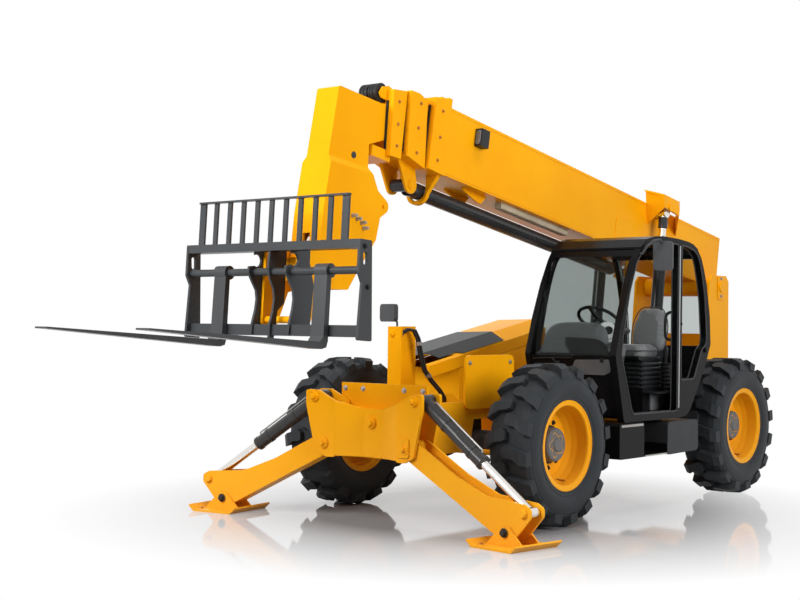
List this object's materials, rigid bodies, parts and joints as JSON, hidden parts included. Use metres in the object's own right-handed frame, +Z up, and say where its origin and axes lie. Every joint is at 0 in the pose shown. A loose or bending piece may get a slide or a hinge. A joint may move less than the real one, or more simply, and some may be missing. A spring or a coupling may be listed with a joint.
{
  "type": "telehandler",
  "caption": "Telescopic handler with an offset cab, a telescoping lift boom, pallet forks on a tilting carriage, steered wheels and folding stabiliser legs.",
  "frame": {"origin": "on the ground, below the middle of the overall length and width", "axes": "+X forward along the machine, +Y to its left, the cab side, +Z up"},
  "size_m": [8.3081, 3.4456, 3.4612],
  "materials": {
    "paint": "semi-gloss",
    "grey_paint": "satin",
    "dark_metal": "painted, satin",
    "engine_metal": "cast",
    "black_metal": "gloss",
    "black_frame": "satin",
    "black_box": "moulded",
    "grey_tank": "moulded",
    "black_plastic": "textured",
    "grey_plastic": "textured",
    "seat_cloth": "woven",
    "hose_rubber": "smooth",
    "red_lens": "gloss",
    "chrome_rod": "polished",
    "glass": "clear",
    "tyre_rubber": "moulded"
  },
  "bodies": {
    "chassis": {"chassis_frame": "paint", "stabiliser_frame": "paint", "engine_block": "engine_metal", "engine_pod": "paint", "fuel_tank": "grey_tank", "cab_steps": "black_box", "axles": "dark_metal", "cab_frame": "black_frame", "cab_roof": "black_plastic", "cab_glass": "glass", "cab_console": "grey_plastic", "seat": "seat_cloth", "steering_wheel": "black_plastic", "mirrors": "black_plastic", "front_hoses": "hose_rubber", "rear_lamps": "red_lens", "tow_hitch": "dark_metal"},
    "hood": {"engine_cover": "paint", "hood_moulding": "black_plastic"},
    "boom": {"boom_outer": "paint", "boom_lamp": "black_plastic", "extension_rod": "chrome_rod"},
    "boom_stage_1": {"boom_mid1": "paint", "chain_drum": "black_plastic", "extension_barrel": "black_metal"},
    "boom_stage_2": {"boom_mid2": "paint", "chain_rollers": "black_plastic"},
    "boom_head": {"boom_nose": "paint"},
    "lift_ram_barrels": {"lift_barrels": "black_metal"},
    "lift_ram_rods": {"lift_rods": "chrome_rod"},
    "tilt_ram_barrel": {"tilt_barrel": "black_metal"},
    "tilt_ram_rod": {"tilt_rod": "chrome_rod"},
    "carriage_frame": {"quick_attach": "paint", "carriage": "grey_paint"},
    "left_fork": {"fork_left": "grey_paint"},
    "right_fork": {"fork_right": "grey_paint"},
    "knuckle_front_left": {"knuckle_front_left": "dark_metal"},
    "wheel_front_left": {"rim_front_left": "paint", "tyre_front_left": "tyre_rubber"},
    "knuckle_front_right": {"knuckle_front_right": "dark_metal"},
    "wheel_front_right": {"rim_front_right": "paint", "tyre_front_right": "tyre_rubber"},
    "knuckle_rear_left": {"knuckle_rear_left": "dark_metal"},
    "wheel_rear_left": {"rim_rear_left": "paint", "tyre_rear_left": "tyre_rubber"},
    "knuckle_rear_right": {"knuckle_rear_right": "dark_metal"},
    "wheel_rear_right": {"rim_rear_right": "paint", "tyre_rear_right": "tyre_rubber"},
    "leg_left": {"leg_left": "paint"},
    "foot_left": {"foot_left": "paint"},
    "leg_ram_barrel_left": {"leg_barrel_left": "black_metal"},
    "leg_ram_rod_left": {"leg_rod_left": "chrome_rod"},
    "leg_right": {"leg_right": "paint"},
    "foot_right": {"foot_right": "paint"},
    "leg_ram_barrel_right": {"leg_barrel_right": "black_metal"},
    "leg_ram_rod_right": {"leg_rod_right": "chrome_rod"}
  },
  "joints": [
    {"name": "steer_front_left", "type": "hinge", "parent": "chassis", "child": "knuckle_front_left", "pos_m": [0.46996, 0.8, 0.64], "axis": [0, 0, 1], "range_deg": [-30, 30]},
    {"name": "spin_front_left", "type": "hinge", "parent": "knuckle_front_left", "child": "wheel_front_left", "pos_m": [0.46996, 1.05, 0.64], "axis": [0, 1, 0], "continuous": true},
    {"name": "steer_front_right", "type": "hinge", "parent": "chassis", "child": "knuckle_front_right", "pos_m": [0.46996, -0.8, 0.64], "axis": [0, 0, 1], "range_deg": [-30, 30]},
    {"name": "spin_front_right", "type": "hinge", "parent": "knuckle_front_right", "child": "wheel_front_right", "pos_m": [0.46996, -1.05, 0.64], "axis": [0, 1, 0], "continuous": true},
    {"name": "steer_rear_left", "type": "hinge", "parent": "chassis", "child": "knuckle_rear_left", "pos_m": [-2.61604, 0.8, 0.64], "axis": [0, 0, 1], "range_deg": [-30, 30]},
    {"name": "spin_rear_left", "type": "hinge", "parent": "knuckle_rear_left", "child": "wheel_rear_left", "pos_m": [-2.61604, 1.05, 0.64], "axis": [0, 1, 0], "continuous": true},
    {"name": "steer_rear_right", "type": "hinge", "parent": "chassis", "child": "knuckle_rear_right", "pos_m": [-2.61604, -0.8, 0.64], "axis": [0, 0, 1], "range_deg": [-30, 30]},
    {"name": "spin_rear_right", "type": "hinge", "parent": "knuckle_rear_right", "child": "wheel_rear_right", "pos_m": [-2.61604, -1.05, 0.64], "axis": [0, 1, 0], "continuous": true},
    {"name": "boom_lift", "type": "hinge", "parent": "chassis", "child": "boom", "pos_m": [-3.69304, 0, 1.99], "axis": [0, -1, 0], "range_deg": [-12, 60]},
    {"name": "boom_extend", "type": "slide", "parent": "boom", "child": "boom_stage_1", "axis": [0.986, 0, 0.1668], "range_m": [0, 3]},
    {"name": "stage_2_extend", "type": "slide", "parent": "boom_stage_1", "child": "boom_stage_2", "axis": [0.986, 0, 0.1668], "range_m": [0, 3]},
    {"name": "head_extend", "type": "slide", "parent": "boom_stage_2", "child": "boom_head", "axis": [0.986, 0, 0.1668], "range_m": [0, 3]},
    {"name": "lift_ram_swing", "type": "hinge", "parent": "chassis", "child": "lift_ram_barrels", "pos_m": [-2.41304, 0, 0.95], "axis": [0, -1, 0], "range_deg": [-4.8, 23.6]},
    {"name": "lift_ram_extend", "type": "slide", "parent": "lift_ram_barrels", "child": "lift_ram_rods", "axis": [-0.1359, 0, 0.9907], "range_m": [-0.2, 0.98]},
    {"name": "carriage_tilt", "type": "hinge", "parent": "boom_head", "child": "carriage_frame", "pos_m": [2.08696, 0, 1.94], "axis": [0, 1, 0], "range_deg": [-18, 60]},
    {"name": "tilt_ram_swing", "type": "hinge", "parent": "boom_head", "child": "tilt_ram_barrel", "pos_m": [1.76696, 0, 2.86], "axis": [0, 1, 0], "range_deg": [-2, 6.5]},
    {"name": "tilt_ram_extend", "type": "slide", "parent": "tilt_ram_barrel", "child": "tilt_ram_rod", "axis": [0.474, 0, -0.8805], "range_m": [-0.04, 0.125]},
    {"name": "left_fork_slide", "type": "slide", "parent": "carriage_frame", "child": "left_fork", "axis": [0, 1, 0], "range_m": [-0.15, 0.25]},
    {"name": "right_fork_slide", "type": "slide", "parent": "carriage_frame", "child": "right_fork", "axis": [0, -1, 0], "range_m": [-0.15, 0.25]},
    {"name": "hood_open", "type": "hinge", "parent": "chassis", "child": "hood", "pos_m": [-1.07304, -0.455, 1.31025], "axis": [-0.9833, 0, 0.1819], "range_deg": [0, 60]},
    {"name": "leg_left_swing", "type": "hinge", "parent": "chassis", "child": "leg_left", "pos_m": [1.38196, 0.435, 0.625], "axis": [0.9903, -0.1392, 0], "range_deg": [0, 72]},
    {"name": "foot_left_tilt", "type": "hinge", "parent": "leg_left", "child": "foot_left", "pos_m": [1.52475, 1.45101, 0.11], "axis": [0.9903, -0.1392, 0], "range_deg": [-12, 12]},
    {"name": "leg_ram_left_swing", "type": "hinge", "parent": "chassis", "child": "leg_ram_barrel_left", "pos_m": [1.39504, 0.52809, 0.99], "axis": [0.9903, -0.1392, 0], "range_deg": [0, 77.5]},
    {"name": "leg_ram_left_retract", "type": "slide", "parent": "leg_ram_barrel_left", "child": "leg_ram_rod_left", "axis": [-0.1157, -0.8235, 0.5554], "range_m": [0, 0.434]},
    {"name": "leg_right_swing", "type": "hinge", "parent": "chassis", "child": "leg_right", "pos_m": [1.38196, -0.435, 0.625], "axis": [-0.9903, -0.1392, 0], "range_deg": [0, 72]},
    {"name": "foot_right_tilt", "type": "hinge", "parent": "leg_right", "child": "foot_right", "pos_m": [1.52475, -1.45101, 0.11], "axis": [-0.9903, -0.1392, 0], "range_deg": [-12, 12]},
    {"name": "leg_ram_right_swing", "type": "hinge", "parent": "chassis", "child": "leg_ram_barrel_right", "pos_m": [1.39504, -0.52809, 0.99], "axis": [-0.9903, -0.1392, 0], "range_deg": [0, 77.5]},
    {"name": "leg_ram_right_retract", "type": "slide", "parent": "leg_ram_barrel_right", "child": "leg_ram_rod_right", "axis": [-0.1157, 0.8235, 0.5554], "range_m": [0, 0.434]}
  ],
  "couplings": [
    {"joint": "steer_front_right", "follows": "steer_front_left", "ratio": 1},
    {"joint": "steer_rear_right", "follows": "steer_rear_left", "ratio": 1},
    {"joint": "stage_2_extend", "follows": "boom_extend", "ratio": 1},
    {"joint": "head_extend", "follows": "boom_extend", "ratio": 1},
    {"joint": "lift_ram_swing", "follows": "boom_lift", "ratio": 0.3915},
    {"joint": "lift_ram_extend", "follows": "boom_lift", "m_per_rad": 0.9155},
    {"joint": "tilt_ram_swing", "follows": "carriage_tilt", "ratio": 0.1006},
    {"joint": "tilt_ram_extend", "follows": "carriage_tilt", "m_per_rad": 0.1157},
    {"joint": "leg_ram_left_swing", "follows": "leg_left_swing", "ratio": 1.0724},
    {"joint": "leg_ram_left_retract", "follows": "leg_left_swing", "m_per_rad": 0.3444},
    {"joint": "leg_ram_right_swing", "follows": "leg_right_swing", "ratio": 1.0724},
    {"joint": "leg_ram_right_retract", "follows": "leg_right_swing", "m_per_rad": 0.3444}
  ]
}
